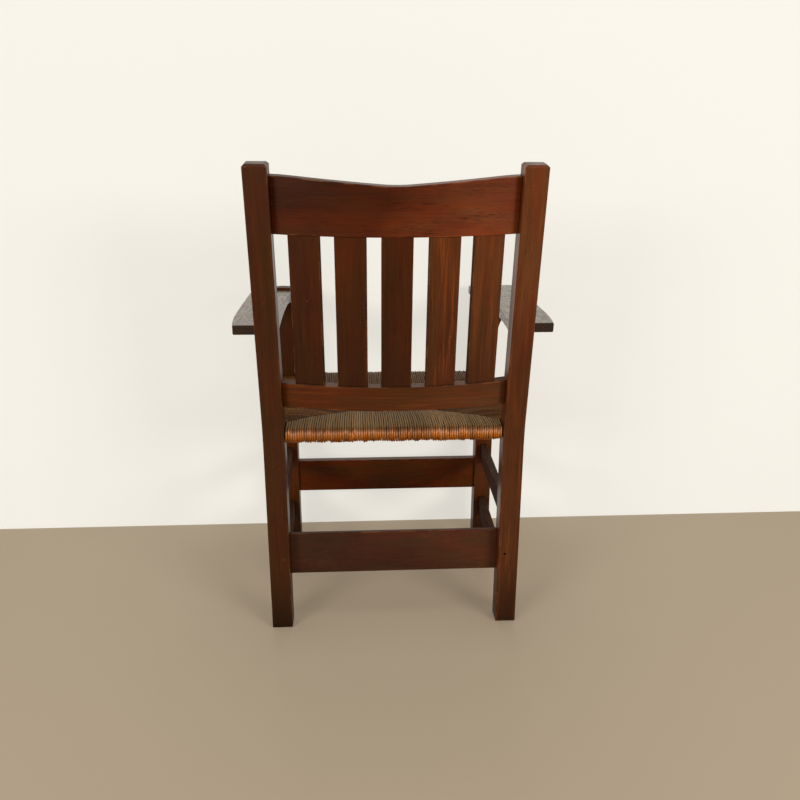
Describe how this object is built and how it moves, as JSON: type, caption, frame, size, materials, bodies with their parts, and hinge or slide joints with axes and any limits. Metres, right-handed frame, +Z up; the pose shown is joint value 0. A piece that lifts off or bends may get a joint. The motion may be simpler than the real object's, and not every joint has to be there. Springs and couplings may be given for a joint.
{
  "type": "mission armchair",
  "caption": "Mission armchair with square posts, a leaning back of wide flat slats between bowed rails, flat arms on small corbels, and a rush seat wound over rounded rails.",
  "frame": {"origin": "on the floor, under the middle of the chair's overall box", "axes": "+Z up, -Y the way the sitter faces, +X to the sitter's left"},
  "size_m": [0.638, 0.5586, 0.9336],
  "materials": {
    "post_wood": "red-brown stain under worn satin varnish",
    "rail_wood": "red-brown stain under worn satin varnish",
    "slat_wood": "red-brown stain under worn satin varnish",
    "arm_wood": "brown stain, polished by hands to a soft gloss",
    "dowel_wood": "plain",
    "seat_rail_wood": "plain, rounded where the rush lies on it",
    "rush": "twisted fibre cord, greyed and worn on top",
    "stuffing": "packed loose fibre"
  },
  "bodies": {
    "root": {"back_post_left": "post_wood", "back_post_right": "post_wood", "front_post_left": "post_wood", "front_post_right": "post_wood", "crest_rail": "rail_wood", "lower_back_rail": "rail_wood", "back_slat_1": "slat_wood", "back_slat_2": "slat_wood", "back_slat_3": "slat_wood", "back_slat_4": "slat_wood", "back_slat_5": "slat_wood", "arm_left": "arm_wood", "arm_right": "arm_wood", "corbel_left": "arm_wood", "corbel_right": "arm_wood", "corbel_dowels": "dowel_wood", "seat_rail_front": "seat_rail_wood", "seat_rail_rear": "seat_rail_wood", "seat_rail_left": "seat_rail_wood", "seat_rail_right": "seat_rail_wood", "rush_seat": "rush", "seat_stuffing": "stuffing", "front_stretcher": "rail_wood", "rear_stretcher": "rail_wood", "side_stretcher_upper_left": "rail_wood", "side_stretcher_upper_right": "rail_wood", "side_stretcher_lower_left": "rail_wood", "side_stretcher_lower_right": "rail_wood", "stretcher_pegs": "dowel_wood"}
  },
  "joints": []
}
